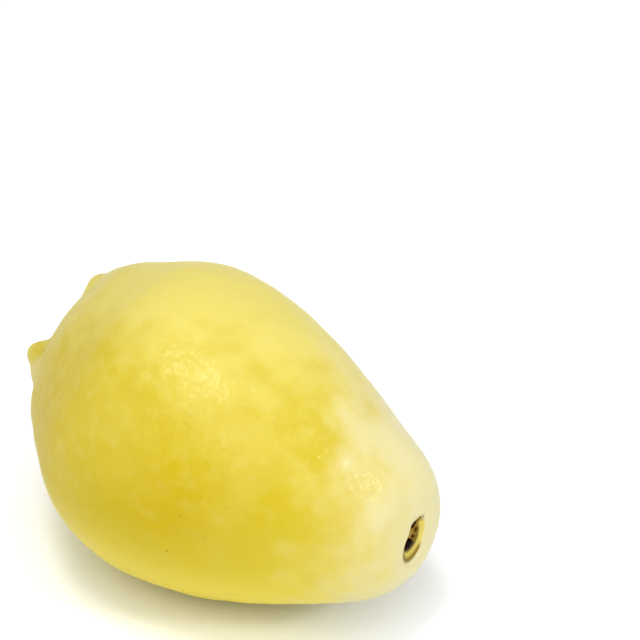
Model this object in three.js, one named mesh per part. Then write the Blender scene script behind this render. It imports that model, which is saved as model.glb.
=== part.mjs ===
// A ripe yellow guava, picked and lying on its side.
//
// It has three pieces: the fruit, the woody stub of its stalk in the pit at the stem end, and the dried
// calyx in the basin at the blossom end. Millimetres, +Z up. The stem end points to +X and the blossom end
// to -X. The origin is on the ground, under the middle of the whole guava's box.

import * as THREE from 'three';

// ---- Driving dimensions, in millimetres and degrees ----

// The fruit's outline, from the middle of the basin at the blossom end, over the rim and along the body to
// the lip of the pit at the stem end and down to its floor: distance along the axis, radius.
const LENGTH = 96;
const BASIN_FLOOR = 8.6;
const PIT_FLOOR = 90.4;
const OUTLINE = [
  [BASIN_FLOOR, 0], [8.3, 3.4], [7.0, 6.4], [4.6, 9.0], [3.0, 11.4], [4.4, 14.0], [9.0, 19.6],
  [18, 25.3], [30, 31.2], [43, 33], [56, 31], [70, 26.2], [82, 20.2], [90, 15.5],
  [94.2, 11.4], [95.9, 7.0], [95.4, 5.2], [93.4, 4.6], [91.4, 4.0], [PIT_FLOOR, 2.4], [PIT_FLOOR, 0],
];

// Rings of the fruit's mesh: each stretch ends at this share of the outline's length.
const RING_STRETCHES = [
  { end: 0.22, rings: 18 },
  { end: 0.80, rings: 19 },
  { end: 1, rings: 16 },
];
const FRUIT_SEGMENTS = 64;

// How far the axis bows out of straight at mid-length, and how far each end leans along the axis for each
// millimetre that a point lies to +Y or +Z of the axis.
const BOW = { y: -6, z: -1.7 };
const BLOSSOM_LEAN = { y: -0.22, z: 0.37 };
const STEM_LEAN = { y: -0.05, z: -0.21 };

// Fleshy knobs just inside the blossom rim: angle round the axis from +Y towards +Z, radius of the ring that
// they stand on, how far each one stands up, and its half-width. They splay outwards a little.
const KNOBS = [
  { angle: 192, ring: 10.2, height: 4.6, spread: 4.1 },
  { angle: 78, ring: 9.8, height: 2.1, spread: 4.0 },
  { angle: 337, ring: 9.8, height: 5.0, spread: 3.3 },
  { angle: 265, ring: 9.6, height: 3.8, spread: 3.1 },
];
const KNOB_SPLAY = 0.25;

// The knobs belong to the crown, the part of the fruit up to this distance along the axis. A low ridge runs
// from each knob out along the body.
const CROWN = { full: 7, gone: 14 };
const RIDGE = { height: 0.3, middle: 8, length: 20, halfWidth: 4.5 };

// The pit is a slot with one end narrower: angle of its long way towards the narrow end, its width as a share
// of its length at the middle, how much that share falls towards the narrow end, and how far the pit's middle
// is off the axis. The squeeze and the shift start outside the lip and are whole inside the mouth.
const PIT = { angle: 47, width: 0.62, taper: 0.12, lipRadius: 10.5, mouthRadius: 5.4, y: 0.1, z: -1.45 };

// The fruit lies with its stem end lower than its blossom end, on a flat spot pressed into its belly.
const STEM_DROP = 8;
const FLAT_DEPTH = 0.7;

// The stub stands on the pit's floor over a small gap. It is longer than wide, along the slot, off the pit's
// middle, and has a hollow in its torn head.
const STUB = { foot: 1.5, head: 2.3, stretch: 1.4, height: 4.6, hollow: 0.6, lift: 0.35, y: -0.1, z: 0.6 };
const STUB_SEGMENTS = 24;

// The calyx is a shallow cup in the basin with dried sepals standing on its rim.
const CALYX = { sepals: 5, floor: 2.8, rim: 4.8, height: 2.6, sepalRise: 1.2, wall: 1.0, lift: 0.45 };
const CALYX_SEGMENTS = 40;

const RAD = Math.PI / 180;
const FULL_TURN = 2 * Math.PI;
const Y_AXIS = new THREE.Vector3(0, 1, 0);
const ORIGIN = new THREE.Vector2(0, 0);

// ---- Helpers ----

// A closed skin whose first and last stations are single points. pointAt(station, angle) gives the place of
// a point, with the angle running from +Y towards +Z. The first station is the one nearer to -X, which turns
// the faces outwards.
function closedSkin(stations, segments, pointAt) {
  const positions = [];
  const indices = [];
  const last = stations.length - 1;
  const place = (station, angle) => positions.push(...pointAt(station, angle).toArray());
  const corner = (ring, k) => {
    if (ring === 0) return 0;
    if (ring === last) return 1 + (last - 1) * segments;
    return 1 + (ring - 1) * segments + (k % segments);
  };

  place(stations[0], 0);
  for (const station of stations.slice(1, last)) {
    for (let k = 0; k < segments; k++) place(station, (FULL_TURN * k) / segments);
  }
  place(stations[last], 0);

  for (let ring = 0; ring < last; ring++) {
    for (let k = 0; k < segments; k++) {
      if (ring > 0) indices.push(corner(ring, k), corner(ring, k + 1), corner(ring + 1, k + 1));
      if (ring < last - 1) indices.push(corner(ring, k), corner(ring + 1, k + 1), corner(ring + 1, k));
    }
  }
  const geometry = new THREE.BufferGeometry();
  geometry.setAttribute('position', new THREE.Float32BufferAttribute(positions, 3));
  geometry.setIndex(indices);
  geometry.computeVertexNormals();
  return geometry;
}

// 1 at distance 0, falling smoothly to nothing at about twice the spread.
function bump(distance, spread) {
  return Math.exp(-((Math.abs(distance) / spread) ** 3));
}

// Moves a point of the straight guava, with its axis along X from 0 to LENGTH, to where it lies on the bowed,
// tilted one. Every piece goes through this, so the stub and the calyx keep their places in the fruit.
function layDown(axial, y, z) {
  const share = (2 * axial) / LENGTH - 1;
  const bow = 1 - share ** 2;
  const blossomEnd = Math.max(-share, 0) ** 2;
  const stemEnd = Math.max(share, 0) ** 2;
  const bowedY = y + BOW.y * bow;
  const bowedZ = z + BOW.z * bow;
  const leanY = blossomEnd * BLOSSOM_LEAN.y + stemEnd * STEM_LEAN.y;
  const leanZ = blossomEnd * BLOSSOM_LEAN.z + stemEnd * STEM_LEAN.z;
  const along = axial - LENGTH / 2 + leanY * bowedY + leanZ * bowedZ;
  return new THREE.Vector3(along, bowedY, bowedZ).applyAxisAngle(Y_AXIS, STEM_DROP * RAD);
}

// ---- The fruit ----

// Points on the outline, closer together where the stretches ask for it.
function outlineStations() {
  const outline = new THREE.CatmullRomCurve3(
    OUTLINE.map(([axial, radius]) => new THREE.Vector3(axial, radius, 0)), false, 'centripetal');
  const stations = [outline.getPointAt(0)];
  let start = 0;
  for (const { end, rings } of RING_STRETCHES) {
    for (let k = 1; k <= rings; k++) stations.push(outline.getPointAt(start + ((end - start) * k) / rings));
    start = end;
  }
  return stations;
}

function fruitPoint(station, angle) {
  let axial = station.x;
  let radius = station.y;
  const crown = 1 - THREE.MathUtils.smoothstep(station.x, CROWN.full, CROWN.gone);
  for (const knob of KNOBS) {
    const turn = angle - knob.angle * RAD;
    const inward = knob.ring - station.y * Math.cos(turn);
    const sideways = station.y * Math.sin(turn);
    const rise = crown * knob.height * bump(Math.hypot(inward, sideways), knob.spread);
    axial -= rise;
    radius += KNOB_SPLAY * rise;
    const onRidge = Math.cos(turn) > 0 ? bump(sideways, RIDGE.halfWidth) : 0;
    radius += RIDGE.height * onRidge * bump(station.x - RIDGE.middle, RIDGE.length);
  }
  const pitShare = station.x > LENGTH / 2
    ? 1 - THREE.MathUtils.smoothstep(station.y, PIT.mouthRadius, PIT.lipRadius) : 0;
  const pitTurn = angle - PIT.angle * RAD;
  const lengthways = radius * Math.cos(pitTurn);
  const width = THREE.MathUtils.lerp(1, PIT.width - PIT.taper * Math.cos(pitTurn), pitShare);
  const across = radius * Math.sin(pitTurn) * width;
  const narrow = new THREE.Vector2(lengthways, across).rotateAround(ORIGIN, PIT.angle * RAD);
  return layDown(axial, narrow.x + PIT.y * pitShare, narrow.y + PIT.z * pitShare);
}

// Presses the lowest part of the fruit flat, so that it rests on a real face.
function pressFlat(geometry) {
  const position = geometry.getAttribute('position');
  geometry.computeBoundingBox();
  const ground = geometry.boundingBox.min.z + FLAT_DEPTH;
  for (let k = 0; k < position.count; k++) position.setZ(k, Math.max(position.getZ(k), ground));
  geometry.computeBoundingBox();
  geometry.computeVertexNormals();
}

function makeFruit() {
  const geometry = closedSkin(outlineStations(), FRUIT_SEGMENTS, fruitPoint);
  pressFlat(geometry);
  const skin = new THREE.MeshStandardMaterial({ color: 0xe6d35a, roughness: 0.45, metalness: 0 });
  return namedMesh('fruit', geometry, skin);
}

// ---- The stub of the stalk ----

// A short woody peg, a little wider at its torn head.
function makeStemStub() {
  const foot = PIT_FLOOR + STUB.lift;
  const head = foot + STUB.height;
  const profile = [
    { axial: foot, radius: 0 },
    { axial: foot, radius: STUB.foot * 0.8 },
    { axial: foot + 0.4, radius: STUB.foot },
    { axial: foot + STUB.height * 0.6, radius: STUB.foot },
    { axial: head - 0.5, radius: STUB.head },
    { axial: head, radius: STUB.head * 0.85 },
    { axial: head - STUB.hollow, radius: STUB.head * 0.4 },
    { axial: head - STUB.hollow, radius: 0 },
  ];
  const middle = new THREE.Vector2(PIT.y + STUB.y, PIT.z + STUB.z);
  const geometry = closedSkin(profile, STUB_SEGMENTS, ({ axial, radius }, angle) => {
    const edge = new THREE.Vector2(STUB.stretch * radius * Math.cos(angle), radius * Math.sin(angle));
    edge.rotateAround(ORIGIN, PIT.angle * RAD).add(middle);
    return layDown(axial, edge.x, edge.y);
  });
  const wood = new THREE.MeshStandardMaterial({ color: 0x5b3d1e, roughness: 0.85, metalness: 0 });
  return namedMesh('stem_stub', geometry, wood);
}

// ---- The dried calyx ----

// A shallow cup on the floor of the basin, open to the blossom end, with sepals standing on its rim.
function makeCalyx() {
  const back = BASIN_FLOOR - CALYX.lift;
  const lip = back - CALYX.height;
  const profile = [
    { axial: back - CALYX.wall, radius: 0, sepal: 0 },
    { axial: back - CALYX.wall, radius: CALYX.floor - CALYX.wall, sepal: 0 },
    { axial: lip + CALYX.wall, radius: CALYX.rim - CALYX.wall, sepal: 0.4 },
    { axial: lip, radius: CALYX.rim - CALYX.wall / 2, sepal: 1 },
    { axial: lip + CALYX.wall, radius: CALYX.rim, sepal: 0.6 },
    { axial: back - CALYX.wall, radius: CALYX.floor, sepal: 0 },
    { axial: back, radius: CALYX.floor * 0.7, sepal: 0 },
    { axial: back, radius: 0, sepal: 0 },
  ];
  const geometry = closedSkin(profile, CALYX_SEGMENTS, ({ axial, radius, sepal }, angle) => {
    const rise = sepal * CALYX.sepalRise * Math.cos(CALYX.sepals * angle);
    return layDown(axial - rise, radius * Math.cos(angle), radius * Math.sin(angle));
  });
  const dried = new THREE.MeshStandardMaterial({ color: 0x4a3220, roughness: 0.9, metalness: 0 });
  return namedMesh('calyx', geometry, dried);
}

function namedMesh(name, geometry, material) {
  const mesh = new THREE.Mesh(geometry, material);
  mesh.name = name;
  return mesh;
}

// ---- The guava ----

// The pieces hang in a group that moves the middle of the box's base to the origin.
function makeGuava() {
  const pieces = new THREE.Group();
  pieces.add(makeFruit(), makeStemStub(), makeCalyx());
  const box = new THREE.Box3().setFromObject(pieces);
  const middle = box.getCenter(new THREE.Vector3());
  pieces.position.set(-middle.x, -middle.y, -box.min.z);
  const guava = new THREE.Group();
  guava.add(pieces);
  return guava;
}

export default makeGuava();
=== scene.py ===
"""A ripe yellow guava on a white studio floor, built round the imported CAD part.

Lengths are in metres, in the part's own frame: the guava lies along X with its stem end towards +X and
rests on z = 0. The CAD mesh of the fruit is the cage that the fine skin is subdivided from.
"""

import math

import bmesh
import bpy
import numpy as np
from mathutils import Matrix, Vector, noise


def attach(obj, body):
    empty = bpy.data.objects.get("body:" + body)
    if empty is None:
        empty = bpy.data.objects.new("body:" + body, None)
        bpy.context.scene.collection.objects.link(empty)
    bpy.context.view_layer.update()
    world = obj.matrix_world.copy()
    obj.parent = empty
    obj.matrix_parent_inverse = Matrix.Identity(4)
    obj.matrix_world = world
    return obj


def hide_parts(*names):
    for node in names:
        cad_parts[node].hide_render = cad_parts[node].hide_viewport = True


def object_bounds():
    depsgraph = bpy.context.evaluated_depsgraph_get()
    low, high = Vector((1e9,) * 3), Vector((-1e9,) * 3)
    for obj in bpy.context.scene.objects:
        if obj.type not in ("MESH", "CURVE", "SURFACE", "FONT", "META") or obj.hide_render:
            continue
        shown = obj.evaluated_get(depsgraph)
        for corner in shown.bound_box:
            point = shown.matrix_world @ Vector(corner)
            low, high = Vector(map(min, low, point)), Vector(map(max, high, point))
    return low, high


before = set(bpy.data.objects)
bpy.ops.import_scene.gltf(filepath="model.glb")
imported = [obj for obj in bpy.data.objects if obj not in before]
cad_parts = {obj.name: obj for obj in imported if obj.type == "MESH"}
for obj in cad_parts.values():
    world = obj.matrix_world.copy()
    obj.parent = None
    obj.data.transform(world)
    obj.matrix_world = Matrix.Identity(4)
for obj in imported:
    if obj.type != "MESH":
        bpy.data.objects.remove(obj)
cad_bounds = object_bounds()

MM = 0.001
FULL_TURN = 2 * math.pi

# ---- How the fruit lies ----
# The axis drops this much towards the stem end. Angles round the axis run from +Y towards +Z. Each end of
# the fruit leans: its faces lie this much further along X for each metre to +Y and to +Z.
STEM_DROP = math.radians(8)
STEM_LEAN = np.array([-0.05, -0.19])
BLOSSOM_LEAN = np.array([-0.16, 0.28])

# ---- The relief of the skin: the width, height and seed of the dents, the lumps and the pimples ----
RELIEF = ((22 * MM, 0.35 * MM, 3.1), (7 * MM, 0.12 * MM, 8.4), (2.4 * MM, 0.035 * MM, 5.2))

# ---- The pattern of the skin, and how deep its peel looks under the wax and in it ----
BLOTCH_SIZE = 19 * MM
MOTTLE_SIZE = 7 * MM
FLECK_SIZE = 3 * MM
SPECK_SPACING = 5 * MM
PEEL_SIZE = 1.5 * MM
PEEL_DEPTH = 0.05 * MM
WAX_DEPTH = 0.16 * MM

# ---- The ripest cheeks of the skin: the middle and half-width of each, in millimetres ----
CHEEKS = (((16, -30, 34), 15), ((-23, -25, 40), 12))

# ---- The crown at the blossom end: knobs round a basin, and a fold of skin with a crease inside it ----
# It reaches this far along the fruit from the middle of the calyx.
CROWN_REACH = 12 * MM
KNOB_ANGLES = (192, 78, 337, 265)
KNOB_RING = 10.0 * MM
KNOB_WIDTH = 3.6 * MM
BASIN_RING = 6.5 * MM
FOLD_RING = 15.8 * MM
FOLD_WIDTH = 1.2 * MM
FOLD_HEIGHT = 0.4 * MM
CREASE_INSIDE_FOLD = 2.0 * MM
CREASE_WIDTH = 0.9 * MM

# ---- The scar at the stem end: a corky ring, a collar of flesh inside it, and the stub in the collar ----
SLOT_ANGLE = math.radians(47)
SCAR_OFF_STUB = (0.1 * MM, -0.25 * MM)
SCAR_LONG = 4.5 * MM
SCAR_SHORT = 2.75 * MM
MOUTH_RADIUS = 5.0 * MM
MOUTH_EDGE = 1.5 * MM
LIP_OVER_STUB = 0.55 * MM
COLLAR_DEPTH = 1.3 * MM
DEPTH_UNDER_STUB = 1.4 * MM
# Places in the scar are given lengthways and across from the stub's middle, with their half-length and
# half-width, in millimetres: the gap at the narrow end, which is also painted dark as shade, and the notch
# in the lip beside it.
GAP = (3.7, 0.3, 1.4, 1.0)
GAP_DEPTH = 3.0 * MM
NOTCH = (2.6, 1.9, 2.7, 1.5)
NOTCH_DEPTH = 0.55 * MM

# ---- The stub: half its length and width, and the hollows in its torn head ----
STUB_LONG = 3.2 * MM
STUB_SHORT = 2.3 * MM
STUB_SIDES = 96
HEAD_ROUNDING = 0.35 * MM
CRUMB_SIZE = 0.7 * MM
CRUMB_HEIGHT = 0.12 * MM
# Each hollow is a place in the scar, with its depth in millimetres.
HOLLOWS = ((-1.85, -0.15, 1.55, 2.5, 3.0), (0.3, -0.45, 0.5, 0.65, 1.4), (1.75, -0.5, 0.55, 0.65, 1.4),
           (2.75, 0.9, 1.1, 0.85, 2.2))

# ---- The dried calyx ----
SEPALS = 5
STAMENS = 46
CALYX_SEED = 7
CUP_SIDES = 60
# How far out the cup's surface is at each radius, from the foot to the rim and back inside, in millimetres.
CUP_PROFILE = ((-0.05, 1.2), (0.0, 2.2), (0.5, 2.8), (1.5, 3.7), (1.75, 3.75), (1.6, 3.4), (0.9, 2.3),
               (0.8, 1.1))

# ---- The stage. Directions are azimuths from -Y towards +X, and elevations, in degrees ----
FLOOR_HALF = 4.0
WORLD_STRENGTH = 0.73
# Each light's direction, distance, size and power in watts.
LIGHTS = {
    "overhead": ((9, 77), 1.1, 0.30, 3.5),
    "front": ((40, 48), 1.2, 0.8, 4.7),
    "side": ((99, 33), 1.2, 0.15, 2.3),
}

# ---- The camera: where it stands, and how far right of and above the fruit's middle it aims ----
VIEW_DIRECTION = (39.8, 32)
VIEW_DISTANCE = 0.5469
AIM_RIGHT = 24.0 * MM
AIM_UP = 22.4 * MM
LENS = 150
SENSOR = 36

# ---- Colours of the skin ----
GOLD = (0.615, 0.50, 0.07, 1)
DEEP_GOLD = (0.59, 0.475, 0.03, 1)
LEMON = (0.64, 0.54, 0.11, 1)
# Pale lemon for the top: partly the skin's own colour, partly painted light from above.
PALE_LEMON_AND_TOP_LIGHT = (0.715, 0.63, 0.195, 1)
OCHRE = (0.565, 0.435, 0.004, 1)
RIPE = (0.56, 0.425, 0.001, 1)
# Painted bounce light: the lowest skin is lightened as if lit from the floor.
BELLY_BOUNCE_LIGHT = (0.92, 0.79, 0.13, 1)
CREAM = (0.69, 0.635, 0.37, 1)
CREAMY_FLECK = (0.70, 0.62, 0.25, 1)
SPECK = (0.3, 0.2, 0.03, 1)
FOLD_PEACH = (0.68, 0.57, 0.25, 1)
KNOB_YELLOW = (0.68, 0.60, 0.13, 1)
BASIN_OLIVE = (0.30, 0.24, 0.05, 1)

# ---- Colours of the scar and the stub ----
FLESH = (0.72, 0.61, 0.16, 1)
OLIVE_CORK = (0.20, 0.155, 0.0, 1)
BROWN_CORK = (0.24, 0.15, 0.0, 1)
# Painted shade, near black, for the deep parts of the slot.
SLOT_PAINTED_SHADE = (0.02, 0.003, 0.001, 1)
TAN_WOOD = (0.40, 0.25, 0.04, 1)
OLIVE_WOOD = (0.28, 0.185, 0.018, 1)
BROWN_GRAIN = (0.13, 0.06, 0.015, 1)
# The hollows in the stub's head: reddish wood darkening with depth to near black, partly painted shade.
RED_WOOD_AND_HOLLOW_SHADE = (0.09, 0.02, 0.002, 1)
HOLLOW_PAINTED_SHADE = (0.02, 0.002, 0.001, 1)

# ---- Colours of the calyx and the floor ----
DRIED_BROWN = (0.12, 0.065, 0.025, 1)
DRIED_BLACK = (0.055, 0.028, 0.012, 1)
STAMEN_TAN = (0.26, 0.15, 0.055, 1)
DUSTY_GRAIN = (0.30, 0.21, 0.12, 1)
FLOOR_WHITE = (0.93, 0.95, 1.0, 1)


# ---- Number helpers ----

def smooth_step(low, high, values):
    share = np.clip((values - low) / (high - low), 0, 1)
    return share * share * (3 - 2 * share)


def bell(values, spread):
    return np.exp(-((values / spread) ** 2))


def noise_at(points, size, octaves=2, seed=0.0):
    """Smooth noise from about -1 to 1 at each point, with features of that size."""
    shift = Vector((seed, seed * 1.7, -seed * 0.6))
    return np.array([noise.fractal(Vector(p) / size + shift, 1.0, 2.0, octaves) for p in points])


def round_turn(count):
    """That many angles, evenly spaced round a full turn."""
    return np.linspace(0, FULL_TURN, count, endpoint=False)


def turned(lengthways, across, angle):
    """Two lengths along axes turned by that angle, given along +Y and +Z."""
    cosine, sine = math.cos(angle), math.sin(angle)
    return np.stack([cosine * lengthways - sine * across, sine * lengthways + cosine * across], axis=-1)


def tipped(points, drop):
    """The points turned about the Y axis so that the +X end drops by that angle."""
    cosine, sine = math.cos(drop), math.sin(drop)
    result = points.copy()
    result[:, 0] = cosine * points[:, 0] + sine * points[:, 2]
    result[:, 2] = cosine * points[:, 2] - sine * points[:, 0]
    return result


def untilted(points):
    """The points with the fruit's axis turned level, along X."""
    return tipped(points, -STEM_DROP)


def tilted(points):
    """Turns level points back to how the fruit lies."""
    return tipped(points, STEM_DROP)


def box_middle(points):
    return (points.min(axis=0) + points.max(axis=0)) / 2


# ---- Mesh helpers ----

def read_points(mesh):
    points = np.empty(len(mesh.vertices) * 3)
    mesh.vertices.foreach_get("co", points)
    return points.reshape(-1, 3)


def write_points(mesh, points):
    mesh.vertices.foreach_set("co", points.ravel())
    mesh.update()


def read_normals(mesh):
    normals = np.empty(len(mesh.vertices) * 3)
    mesh.vertex_normals.foreach_get("vector", normals)
    return normals.reshape(-1, 3)


def level_points(node):
    """The points of a CAD node, in the untilted frame."""
    return untilted(read_points(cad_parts[node].data))


def add_mask(mesh, name, values):
    """A value from 0 to 1 at each point, which the materials read by name."""
    attribute = mesh.attributes.new(name, "FLOAT", "POINT")
    attribute.data.foreach_set("value", np.clip(values, 0, 1).astype(np.float32))


def shade_smooth(mesh):
    mesh.polygons.foreach_set("use_smooth", [True] * len(mesh.polygons))


def new_object(name, data):
    thing = bpy.data.objects.new(name, data)
    bpy.context.scene.collection.objects.link(thing)
    return thing


def closed_skin(rings):
    """Points and faces of a closed skin over rings of points, drawn in to a point at each end."""
    count = len(rings[0])
    last = 1 + count * len(rings)
    points = np.vstack([rings[0].mean(axis=0), *rings, rings[-1].mean(axis=0)])
    faces = []
    for k in range(count):
        after = (k + 1) % count
        faces.append((0, 1 + after, 1 + k))
        for start in range(1, last - count, count):
            faces.append((start + k, start + after, start + count + after, start + count + k))
        faces.append((last - count + k, last - count + after, last))
    return points, faces


def tube(path, half_width, half_thickness, side, sides=8):
    """Points and faces of a closed tube along a path, with its width along the side direction."""
    along = np.gradient(path, axis=0)
    along /= np.linalg.norm(along, axis=1, keepdims=True)
    wide = side - along * (along @ side)[:, None]
    wide /= np.linalg.norm(wide, axis=1, keepdims=True)
    thick = np.cross(along, wide)
    wide *= half_width[:, None]
    thick *= half_thickness[:, None]
    strips = [path + wide * math.cos(angle) + thick * math.sin(angle) for angle in round_turn(sides)]
    return closed_skin(list(np.stack(strips, axis=1)))


def mesh_from(name, parts):
    """One mesh from parts given as points and faces, all faces pointing out."""
    points, faces = [], []
    for part_points, part_faces in parts:
        faces.extend(tuple(corner + len(points) for corner in face) for face in part_faces)
        points.extend(part_points)
    mesh = bpy.data.meshes.new(name)
    mesh.from_pydata([tuple(point) for point in points], [], faces)
    solid = bmesh.new()
    solid.from_mesh(mesh)
    bmesh.ops.recalc_face_normals(solid, faces=solid.faces)
    solid.to_mesh(mesh)
    solid.free()
    shade_smooth(mesh)
    return mesh


def cage_from(node):
    """The CAD node's mesh with shared points merged and each pair of triangles joined across its diagonal."""
    cage = bmesh.new()
    cage.from_mesh(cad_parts[node].data)
    bmesh.ops.remove_doubles(cage, verts=cage.verts, dist=1e-6)

    def is_diagonal(edge):
        longest = [max(face.edges, key=lambda e: e.calc_length()) for face in edge.link_faces]
        return len(longest) == 2 and longest[0] == edge and longest[1] == edge

    diagonals = [edge for edge in cage.edges if is_diagonal(edge)]
    bmesh.ops.dissolve_edges(cage, edges=diagonals, use_verts=False)
    return cage


def subdivided(cage, name, levels):
    mesh = bpy.data.meshes.new(name + "_cage")
    cage.to_mesh(mesh)
    cage.free()
    piece = new_object(name + "_cage", mesh)
    modifier = piece.modifiers.new("Subdivision", "SUBSURF")
    modifier.levels = levels
    smooth = bpy.data.meshes.new_from_object(piece.evaluated_get(bpy.context.evaluated_depsgraph_get()))
    smooth.name = name
    bpy.data.objects.remove(piece)
    bpy.data.meshes.remove(mesh)
    return smooth


def add_piece(name, mesh, material, node):
    """Puts a finished mesh in the place of a CAD node."""
    mesh.materials.clear()
    mesh.materials.append(material)
    piece = new_object(name, mesh)
    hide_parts(node)
    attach(piece, "root")


# ---- Material helper ----

class Shader:
    """A material under construction, with a short way to add and join its nodes."""

    def __init__(self, name):
        self.material = bpy.data.materials.new(name)
        self.material.use_nodes = True
        self.nodes = self.material.node_tree.nodes
        self.links = self.material.node_tree.links
        self.surface = self.nodes["Principled BSDF"]
        self.place = self.nodes.new("ShaderNodeTexCoord").outputs["Object"]

    def join(self, source, socket):
        if isinstance(source, bpy.types.NodeSocket):
            self.links.new(source, socket)
        else:
            socket.default_value = source

    def noise(self, size, detail=2.0, roughness=0.5):
        node = self.nodes.new("ShaderNodeTexNoise")
        node.inputs["Scale"].default_value = 1 / size
        node.inputs["Detail"].default_value = detail
        node.inputs["Roughness"].default_value = roughness
        self.join(self.place, node.inputs["Vector"])
        return node.outputs["Fac"]

    def cells(self, size, smoothness=0.6):
        node = self.nodes.new("ShaderNodeTexVoronoi")
        node.feature = "SMOOTH_F1"
        node.inputs["Scale"].default_value = 1 / size
        node.inputs["Smoothness"].default_value = smoothness
        self.join(self.place, node.inputs["Vector"])
        return node.outputs["Distance"]

    def axis(self, letter):
        node = self.nodes.new("ShaderNodeSeparateXYZ")
        self.join(self.place, node.inputs[0])
        return node.outputs[letter]

    def mask(self, name):
        node = self.nodes.new("ShaderNodeAttribute")
        node.attribute_name = name
        return node.outputs["Fac"]

    def range(self, value, low, high, to_low=0.0, to_high=1.0):
        node = self.nodes.new("ShaderNodeMapRange")
        node.interpolation_type = "SMOOTHSTEP"
        self.join(value, node.inputs["Value"])
        for socket, bound in zip(("From Min", "From Max", "To Min", "To Max"), (low, high, to_low, to_high)):
            node.inputs[socket].default_value = bound
        return node.outputs["Result"]

    def math(self, operation, first, second):
        node = self.nodes.new("ShaderNodeMath")
        node.operation = operation
        self.join(first, node.inputs[0])
        self.join(second, node.inputs[1])
        return node.outputs[0]

    def add(self, first, second):
        return self.math("ADD", first, second)

    def minus(self, first, second):
        return self.math("SUBTRACT", first, second)

    def times(self, first, second):
        return self.math("MULTIPLY", first, second)

    def mix(self, share, first, second):
        node = self.nodes.new("ShaderNodeMix")
        node.data_type = "RGBA"
        self.join(share, node.inputs["Factor"])
        self.join(first, node.inputs[6])
        self.join(second, node.inputs[7])
        return node.outputs[2]

    def bump(self, height, depth):
        node = self.nodes.new("ShaderNodeBump")
        node.inputs["Distance"].default_value = depth
        self.join(height, node.inputs["Height"])
        return node.outputs["Normal"]

    def set(self, **values):
        for name, value in values.items():
            self.join(value, self.surface.inputs[name.replace("_", " ")])


# ---- The skin's material ----

def mottled_gold(skin, blotch, mottle, topward):
    """Gold blotches with lemon mottles, and paler on top: partly pale pigment, partly painted light from
    above.
    """
    gold = skin.mix(skin.range(blotch, 0.36, 0.62), GOLD, DEEP_GOLD)
    colour = skin.mix(skin.range(mottle, 0.36, 0.70, 0.0, 0.5), gold, LEMON)
    # Paler towards the top, partly as painted light from above.
    return skin.mix(skin.range(topward, 42 * MM, 66 * MM, 0.0, 0.85), colour, PALE_LEMON_AND_TOP_LIGHT)


def ripened(skin, colour, mottle, fleck, low, along):
    """Ochre low down, except at the stem end, and the ripest gold on the cheeks."""
    ochre = skin.times(low, skin.range(fleck, 0.34, 0.70, 0.36, 0.56))
    ochre = skin.times(ochre, skin.range(along, 22 * MM, 42 * MM, 1.0, 0.0))
    colour = skin.mix(ochre, colour, OCHRE)
    ripe = skin.times(skin.mask("cheek"), skin.range(mottle, 0.34, 0.66, 0.98, 0.85))
    return skin.mix(ripe, colour, RIPE)


def paled(skin, colour, fleck, low, height, stemward):
    """Painted bounce light low on the belly, cream towards the stem end and far side, creamy flecks higher
    up.
    """
    # The lowest part is lightened as painted bounce light from the floor.
    colour = skin.mix(skin.range(height, 0.0, 36 * MM, 0.65, 0.0), colour, BELLY_BOUNCE_LIGHT)
    colour = skin.mix(skin.range(stemward, 16 * MM, 48 * MM), colour, CREAM)
    flecks = skin.times(skin.range(fleck, 0.22, 0.54, 0.18, 0.0), skin.minus(1.0, low))
    return skin.mix(flecks, colour, CREAMY_FLECK)


def specked(skin, colour, mottle):
    specks = skin.range(skin.cells(SPECK_SPACING, 0.0), 0.03, 0.09, 0.45, 0.0)
    return skin.mix(skin.times(specks, skin.range(mottle, 0.5, 0.6)), colour, SPECK)


def with_masked_places(skin, colour):
    """The colours of the crown and of the scar where their masks are, each over the ones before it."""
    cork = skin.mix(skin.mask("scar_far_side"), OLIVE_CORK, BROWN_CORK)
    # The deep mask paints shade, near black, into the deep parts of the scar.
    places = {"fold": FOLD_PEACH, "knob": KNOB_YELLOW, "basin": BASIN_OLIVE, "pit": FLESH, "scar_ring": cork,
              "deep": SLOT_PAINTED_SHADE}
    for mask, place_colour in places.items():
        colour = skin.mix(skin.mask(mask), colour, place_colour)
    return colour


def skin_colour(skin, mottle):
    along, across, height = (skin.axis(letter) for letter in "XYZ")
    blotch = skin.noise(BLOTCH_SIZE)
    fleck = skin.noise(FLECK_SIZE)
    blotch_wobble = skin.times(skin.minus(blotch, 0.5), 30 * MM)
    mottle_wobble = skin.times(skin.minus(mottle, 0.5), 20 * MM)
    wobble = skin.add(blotch_wobble, mottle_wobble)
    topward = skin.add(skin.add(height, skin.times(across, 0.5)), wobble)
    low = skin.range(skin.minus(height, wobble), 20 * MM, 46 * MM, 1.0, 0.0)
    sideways = skin.add(along, skin.times(across, 0.9))
    stemward = skin.add(skin.minus(sideways, skin.times(height, 0.2)), wobble)

    colour = mottled_gold(skin, blotch, mottle, topward)
    colour = ripened(skin, colour, mottle, fleck, low, along)
    colour = paled(skin, colour, fleck, low, height, stemward)
    colour = specked(skin, colour, mottle)
    return with_masked_places(skin, colour)


def skin_material():
    skin = Shader("guava_skin")
    mottle = skin.noise(MOTTLE_SIZE)
    peel = skin.add(skin.cells(PEEL_SIZE), skin.times(skin.noise(0.8 * MM), 0.6))
    skin.set(Base_Color=skin_colour(skin, mottle), Roughness=skin.range(mottle, 0.3, 0.7, 0.40, 0.52))
    skin.set(Normal=skin.bump(peel, PEEL_DEPTH), Specular_IOR_Level=0.18)
    skin.set(Coat_Weight=0.2, Coat_Roughness=0.13, Coat_Normal=skin.bump(peel, WAX_DEPTH))
    skin.set(Subsurface_Weight=0.15, Subsurface_Scale=2.0 * MM, Subsurface_Radius=(1.0, 0.7, 0.2))
    return skin.material


# ---- The crown at the blossom end ----

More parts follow.
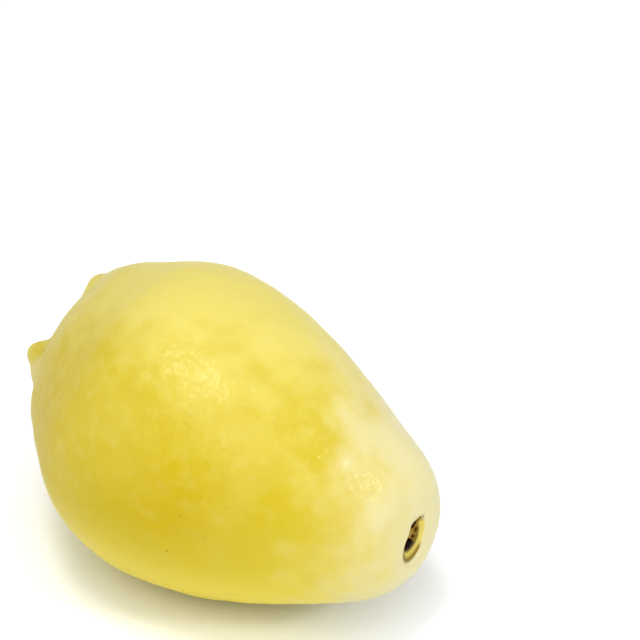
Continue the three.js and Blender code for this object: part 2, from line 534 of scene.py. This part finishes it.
def near_knobs(off_crown):
    """1 at the middle of a knob, falling to 0 round it."""
    share = np.zeros(len(off_crown))
    for angle in KNOB_ANGLES:
        middle = turned(KNOB_RING, 0.0, math.radians(angle))
        share += bell(np.hypot(*(off_crown - middle).T), KNOB_WIDTH)
    return share


def in_line_with_knobs(off_crown):
    """1 in line with a knob and 0 between knobs, at any distance from the basin."""
    turn = np.arctan2(off_crown[:, 1], off_crown[:, 0])
    return sum(bell(2 * np.sin((turn - math.radians(angle)) / 2), 0.35) for angle in KNOB_ANGLES)


def crown_marks(points, level):
    """The masks of the crown, and how far its fold and crease stand out from the skin."""
    calyx_middle = box_middle(level_points("calyx"))
    off_crown = level[:, 1:] - calyx_middle[1:]
    ring = np.hypot(off_crown[:, 0], off_crown[:, 1])
    at_blossom = level[:, 0] < calyx_middle[0] + CROWN_REACH
    knobs = near_knobs(off_crown) * at_blossom

    wander = 1.6 * noise_at(points, 12 * MM, 1, 4.4) + 0.4 * noise_at(points, 5 * MM, 2, 1.3)
    from_fold = ring - FOLD_RING - wander * MM
    patches = 0.9 * noise_at(points, 9 * MM, 1, 6.1)
    strength = np.clip(0.1 + 0.7 * in_line_with_knobs(off_crown) + patches, 0, 1) * at_blossom
    fold = bell(from_fold, FOLD_WIDTH) * strength
    crease = bell(from_fold + CREASE_INSIDE_FOLD, CREASE_WIDTH) * strength

    basin = (1 - smooth_step(BASIN_RING - 3 * MM, BASIN_RING + MM, ring)) * at_blossom
    masks = {"fold": 0.8 * fold, "knob": 0.8 * knobs * (1 - fold), "basin": 0.8 * basin}
    return masks, FOLD_HEIGHT * (fold - crease * (0.4 + knobs))


# ---- The scar at the stem end ----

def out_from(place, lengthways, across):
    """How far out points are from a place in the scar, as a share of its half-length and half-width."""
    middle, aside, half_length, half_width = place
    return np.hypot((lengthways / MM - middle) / half_length, (across / MM - aside) / half_width)


def scar_places(level):
    """How far points are from the stub, lengthways and across, and as a share of the way to the ring."""
    off = level[:, 1:] - box_middle(level_points("stem_stub"))[1:]
    lengthways, across = turned(off[:, 0], off[:, 1], -SLOT_ANGLE).T
    share = np.hypot((lengthways - SCAR_OFF_STUB[0]) / SCAR_LONG, (across - SCAR_OFF_STUB[1]) / SCAR_SHORT)
    return lengthways, across, share


def fill_slot(level, lengthways, across, share, in_stub):
    """Raises the slot's wall to a collar, cuts the notch in the lip, and gives the depth under the lip."""
    stub = level_points("stem_stub")
    middle = box_middle(stub)[1:]
    lip = (stub[:, 0] - (stub[:, 1:] - middle) @ STEM_LEAN).max() + LIP_OVER_STUB
    under_lip = lip + (level[:, 1:] - middle) @ STEM_LEAN - level[:, 0]
    collar = COLLAR_DEPTH * (1 - smooth_step(0.5, 1.05, share))
    collar += DEPTH_UNDER_STUB * (1 - smooth_step(0.55, 1.0, in_stub))
    collar += GAP_DEPTH * (1 - smooth_step(0.6, 1.15, out_from(GAP, lengthways, across)))

    from_middle = np.hypot(lengthways, across)
    in_mouth = (1 - smooth_step(MOUTH_RADIUS, MOUTH_RADIUS + MOUTH_EDGE, from_middle)) * (level[:, 0] > 0)
    raised = in_mouth * np.maximum(under_lip - collar, 0)
    lowered = in_mouth * NOTCH_DEPTH * (1 - smooth_step(0.2, 1.1, out_from(NOTCH, lengthways, across)))
    level[:, 0] += raised - lowered
    return under_lip - raised + lowered


def shape_scar(level):
    """Fills the slot, and gives the masks of the scar and how far its ring lies under the skin."""
    lengthways, across, share = scar_places(level)
    in_stub = np.hypot(lengthways / STUB_LONG, across / STUB_SHORT)
    at_stem = level[:, 0] > 0
    under_lip = fill_slot(level, lengthways, across, share, in_stub)

    # The deep parts, under the lip, round the stub and in the gap, are masked to be painted dark as shade.
    shaded = np.maximum(smooth_step(1.1 * MM, 1.8 * MM, under_lip), 1 - smooth_step(0.90, 1.06, in_stub))
    shaded = np.maximum(shaded, 1 - smooth_step(0.6, 1.0, out_from(GAP, lengthways, across)))
    ring = bell(share - 0.97, 0.12) * at_stem * smooth_step(1.0 * MM, -1.5 * MM, lengthways)
    masks = {
        "pit": (1 - smooth_step(0.88, 1.0, share)) * at_stem,
        "deep": shaded * at_stem * (share < 1.2),
        "scar_ring": ring,
        "scar_far_side": smooth_step(0.5 * MM, -1.5 * MM, across),
    }
    return masks, -0.15 * MM * ring


# ---- The fruit ----

def skin_relief(points):
    """How far the skin stands out at each point, apart from where the fruit rests."""
    relief = sum(height * noise_at(points, width, 2, seed) for width, height, seed in RELIEF)
    return relief * smooth_step(0.5 * MM, 6 * MM, points[:, 2])


def make_fruit():
    mesh = subdivided(cage_from("fruit"), "fruit_skin", 2)
    points = read_points(mesh)
    level = untilted(points)
    crown_masks, crown_rise = crown_marks(points, level)
    scar_masks, scar_rise = shape_scar(level)
    points = tilted(level)
    cheek = sum(bell(np.linalg.norm(points / MM - middle, axis=1), width) for middle, width in CHEEKS)
    for name, values in {"cheek": cheek, **crown_masks, **scar_masks}.items():
        add_mask(mesh, name, values)

    rise = skin_relief(points) * (1 - 0.8 * scar_masks["pit"]) + crown_rise + scar_rise
    points += read_normals(mesh) * rise[:, None]
    points[:, 2] = np.maximum(points[:, 2], 0)
    write_points(mesh, points)
    shade_smooth(mesh)
    add_piece("fruit_skin", mesh, skin_material(), "fruit")


# ---- The stub of the stalk ----

def wood_material():
    wood = Shader("torn_stalk")
    grain = wood.noise(0.5 * MM, detail=4, roughness=0.7)
    patch = wood.noise(1.6 * MM)
    hollow = wood.mask("hollow")
    colour = wood.mix(wood.range(patch, 0.4, 0.6), TAN_WOOD, OLIVE_WOOD)
    colour = wood.mix(wood.range(grain, 0.5, 0.7, 0.0, 0.6), colour, BROWN_GRAIN)
    # The hollows darken with their depth, reddish then near black: partly the wood's colour, partly painted
    # shade.
    colour = wood.mix(wood.range(hollow, 0.0, 0.5), colour, RED_WOOD_AND_HOLLOW_SHADE)
    colour = wood.mix(wood.range(hollow, 0.4, 1.0), colour, HOLLOW_PAINTED_SHADE)
    wood.set(Base_Color=colour, Normal=wood.bump(grain, 0.12 * MM))
    wood.set(Roughness=wood.range(grain, 0.3, 0.7, 0.6, 0.9), Specular_IOR_Level=0.3)
    return wood.material


def torn_head(lengthways, across):
    """How deep the hollows are at each place on the stub's head."""
    depth = np.zeros(np.shape(lengthways))
    for *place, hollow in HOLLOWS:
        out = out_from(place, lengthways, across)
        depth = np.maximum(depth, hollow * MM * (1 - smooth_step(0.45, 1.15, out)))
    return depth


def crumbs(lengthways, across):
    """How far the torn wood lies under the stub's head, between nothing and twice the crumbs' height."""
    places = [Vector((x, y, 4.0 * MM)) / CRUMB_SIZE for x, y in zip(lengthways, across)]
    return CRUMB_HEIGHT * (1 - np.array([noise.noise(place) for place in places]))


def make_stem_stub():
    cad = level_points("stem_stub")
    middle = box_middle(cad)
    heights = cad[:, 0] - (cad[:, 1:] - middle[1:]) @ STEM_LEAN
    head, foot = heights.max(), heights.min()
    angles = round_turn(STUB_SIDES)
    ragged = 1 + 0.05 * np.cos(3 * angles + 0.6) + 0.035 * np.cos(7 * angles) + 0.02 * np.cos(17 * angles)
    rings, depths = [], []

    def add_ring(lengthways, across, height, depth):
        off = turned(lengthways, across, SLOT_ANGLE)
        rings.append(np.column_stack([height + off @ STEM_LEAN, off + middle[1:]]))
        depths.append(depth)

    for width in np.linspace(0.03, 1, 40):
        out = width * (1 + (ragged - 1) * width)
        lengthways, across = STUB_LONG * out * np.cos(angles), STUB_SHORT * out * np.sin(angles)
        depth = torn_head(lengthways, across)
        inside_wall = 1 - smooth_step(0.88, 0.99, width)
        rim = head - depth * inside_wall - HEAD_ROUNDING * width ** 6 - crumbs(lengthways, across)
        add_ring(lengthways, across, rim, depth)
    for down in np.linspace(0.04, 1, 16):
        narrow = (1 - 0.21 * smooth_step(0.1, 0.5, down)) * (1 - 0.4 * smooth_step(0.93, 1.0, down))
        add_ring(lengthways * narrow, across * narrow, rim + (foot - rim) * down, depth)

    points, faces = closed_skin(rings)
    mesh = mesh_from("stalk_stub", [(tilted(points), faces)])
    # The hollow mask grows with each hollow's depth and paints shade into it.
    hollow = smooth_step(0.15 * MM, 0.8 * MM, np.concatenate([[0.0], *depths, [0.0]]))
    add_mask(mesh, "hollow", hollow)
    add_piece("stalk_stub", mesh, wood_material(), "stem_stub")


# ---- The dried calyx. Its parts are in millimetres, with out along the first axis ----

def calyx_material():
    dried = Shader("dried_calyx")
    grain = dried.noise(0.45 * MM, detail=4, roughness=0.7)
    patch = dried.noise(1.5 * MM)
    colour = dried.mix(dried.range(patch, 0.4, 0.62), DRIED_BROWN, DRIED_BLACK)
    colour = dried.mix(dried.mask("stamen"), colour, STAMEN_TAN)
    colour = dried.mix(dried.range(grain, 0.54, 0.72, 0.0, 0.7), colour, DUSTY_GRAIN)
    dried.set(Base_Color=colour, Normal=dried.bump(grain, 0.1 * MM))
    dried.set(Roughness=dried.range(grain, 0.3, 0.7, 0.7, 0.95), Specular_IOR_Level=0.25)
    return dried.material


def calyx_cup():
    """The shallow cup that the sepals and stamens stand on."""
    angles = round_turn(CUP_SIDES)
    wave = 1 + 0.04 * np.cos(SEPALS * angles) + 0.02 * np.cos(13 * angles)
    round_cup = np.column_stack([np.zeros(CUP_SIDES), wave * np.cos(angles), wave * np.sin(angles)])
    rings = [round_cup * radius + np.array([out, 0, 0]) for out, radius in CUP_PROFILE]
    return closed_skin([ring * MM for ring in rings])


def sepal(angle, curl, length):
    """A withered sepal that stands on the cup's rim, leans out and curls in at its tip."""
    share = np.linspace(0, 1, 14)
    ring = 3.3 + 1.5 * np.sin(share * 2.1) - curl * share ** 3
    out = 1.3 + length * share - 0.3 * curl * share ** 2
    sway = 0.35 * np.sin(4 * share + angle)
    outward = np.array([0, math.cos(angle), math.sin(angle)])
    sideways = np.array([0, -math.sin(angle), math.cos(angle)])
    path = out[:, None] * np.array([1, 0, 0]) + ring[:, None] * outward + sway[:, None] * sideways
    half_width = 1.75 * np.sqrt(1 - share ** 1.6) + 0.12
    half_thickness = np.full(len(share), 0.13)
    points, faces = tube(path * MM, half_width * MM, half_thickness * MM, sideways, 20)
    wrinkles = np.array([noise.noise_vector(Vector(p) / (0.9 * MM)) for p in points])
    return points + 0.16 * MM * wrinkles, faces


def stamen(turn, rng):
    """A dried thread that bends over from the floor of the cup, with a small anther at its tip."""
    share = np.linspace(0, 1, 9)
    root, lean, height = rng.uniform(0.6, 2.6), rng.uniform(-0.4, 1.3), rng.uniform(1.2, 2.5)
    swing = rng.uniform(-0.5, 0.5)
    ring = root + lean * share ** 1.5
    angle = turn + swing * share ** 2
    path = np.column_stack([0.7 + height * np.sin(share * 1.9), ring * np.cos(angle), ring * np.sin(angle)])
    width = 0.085 + 0.11 * bell(share - 0.93, 0.09)
    return tube(path * MM, width * MM, width * MM, np.array([0.2, 1.0, 0.35]), 6)


def style():
    """The single stout thread in the middle."""
    share = np.linspace(0, 1, 10)
    path = np.column_stack([0.6 + 2.5 * share, 0.3 * np.sin(3 * share), 0.25 * share])
    width = 0.22 - 0.06 * share + 0.1 * bell(share - 0.95, 0.06)
    return tube(path * MM, width * MM, width * MM, np.array([0.0, 1.0, 0.0]))


def make_calyx():
    cad = level_points("calyx")
    middle = box_middle(cad)
    back = (cad[:, 0] - (cad[:, 1:] - middle[1:]) @ BLOSSOM_LEAN).max()
    rng = np.random.default_rng(CALYX_SEED)
    # The noise that wrinkles the sepals differs from run to run unless it is seeded too.
    noise.seed_set(CALYX_SEED)
    sepals = [sepal(turn + rng.uniform(-0.12, 0.12), rng.uniform(0.4, 1.9), rng.uniform(1.7, 2.4))
              for turn in round_turn(SEPALS)]
    stamens = [stamen(turn, rng) for turn in round_turn(STAMENS)]
    leafy = [calyx_cup(), *sepals]
    mesh = mesh_from("dried_calyx", [*leafy, *stamens, style()])

    # The parts point along +X and the calyx faces -X, so the points are mirrored and the faces turned back.
    points = read_points(mesh)
    off = points[:, 1:]
    level = np.column_stack([back - points[:, 0] + off @ BLOSSOM_LEAN, off + middle[1:]])
    write_points(mesh, tilted(level))
    mesh.flip_normals()
    leafy_count = sum(len(part_points) for part_points, _ in leafy)
    add_mask(mesh, "stamen", np.arange(len(points)) >= leafy_count)
    add_piece("dried_calyx", mesh, calyx_material(), "calyx")


# ---- The stage ----

def unit_towards(direction):
    azimuth, elevation = (math.radians(angle) for angle in direction)
    level = math.cos(elevation)
    return Vector((math.sin(azimuth) * level, -math.cos(azimuth) * level, math.sin(elevation)))


def fruit_middle():
    return Vector((0, 0, cad_bounds[1][2] / 2))


def make_floor():
    white = Shader("floor_white")
    white.set(Base_Color=FLOOR_WHITE, Roughness=0.9, Specular_IOR_Level=0.1)
    mesh = bpy.data.meshes.new("floor")
    corners = [(x * FLOOR_HALF, y * FLOOR_HALF, 0) for x, y in ((-1, -1), (1, -1), (1, 1), (-1, 1))]
    mesh.from_pydata(corners, [], [(0, 1, 2, 3)])
    mesh.materials.append(white.material)
    new_object("floor", mesh)


def make_area_light(name, direction, distance, size, watts):
    """A soft square light that shines at the middle of the guava."""
    outward = unit_towards(direction)
    light = bpy.data.lights.new(name, "AREA")
    light.size = size
    light.energy = watts
    lamp = new_object(name, light)
    lamp.location = fruit_middle() + outward * distance
    lamp.rotation_euler = outward.to_track_quat("Z", "Y").to_euler()


def make_lights():
    world = bpy.data.worlds.new("studio")
    world.use_nodes = True
    sky = world.node_tree.nodes["Background"]
    sky.inputs["Color"].default_value = (1, 1, 1, 1)
    sky.inputs["Strength"].default_value = WORLD_STRENGTH
    bpy.context.scene.world = world
    for name, light in LIGHTS.items():
        make_area_light(name, *light)


def make_camera():
    back = unit_towards(VIEW_DIRECTION)
    azimuth = math.radians(VIEW_DIRECTION[0])
    right = Vector((math.cos(azimuth), math.sin(azimuth), 0))
    up = back.cross(right)
    lens = bpy.data.cameras.new("camera")
    lens.lens = LENS
    lens.sensor_width = SENSOR
    lens.clip_start = 0.05
    camera = new_object("camera", lens)
    camera.location = fruit_middle() + right * AIM_RIGHT + up * AIM_UP + back * VIEW_DISTANCE
    camera.rotation_euler = back.to_track_quat("Z", "Y").to_euler()
    bpy.context.scene.camera = camera


make_camera()
make_floor()
make_lights()
make_fruit()
make_stem_stub()
make_calyx()
bpy.context.scene.view_settings.view_transform = "Standard"
bpy.context.scene.view_settings.gamma = 0.8
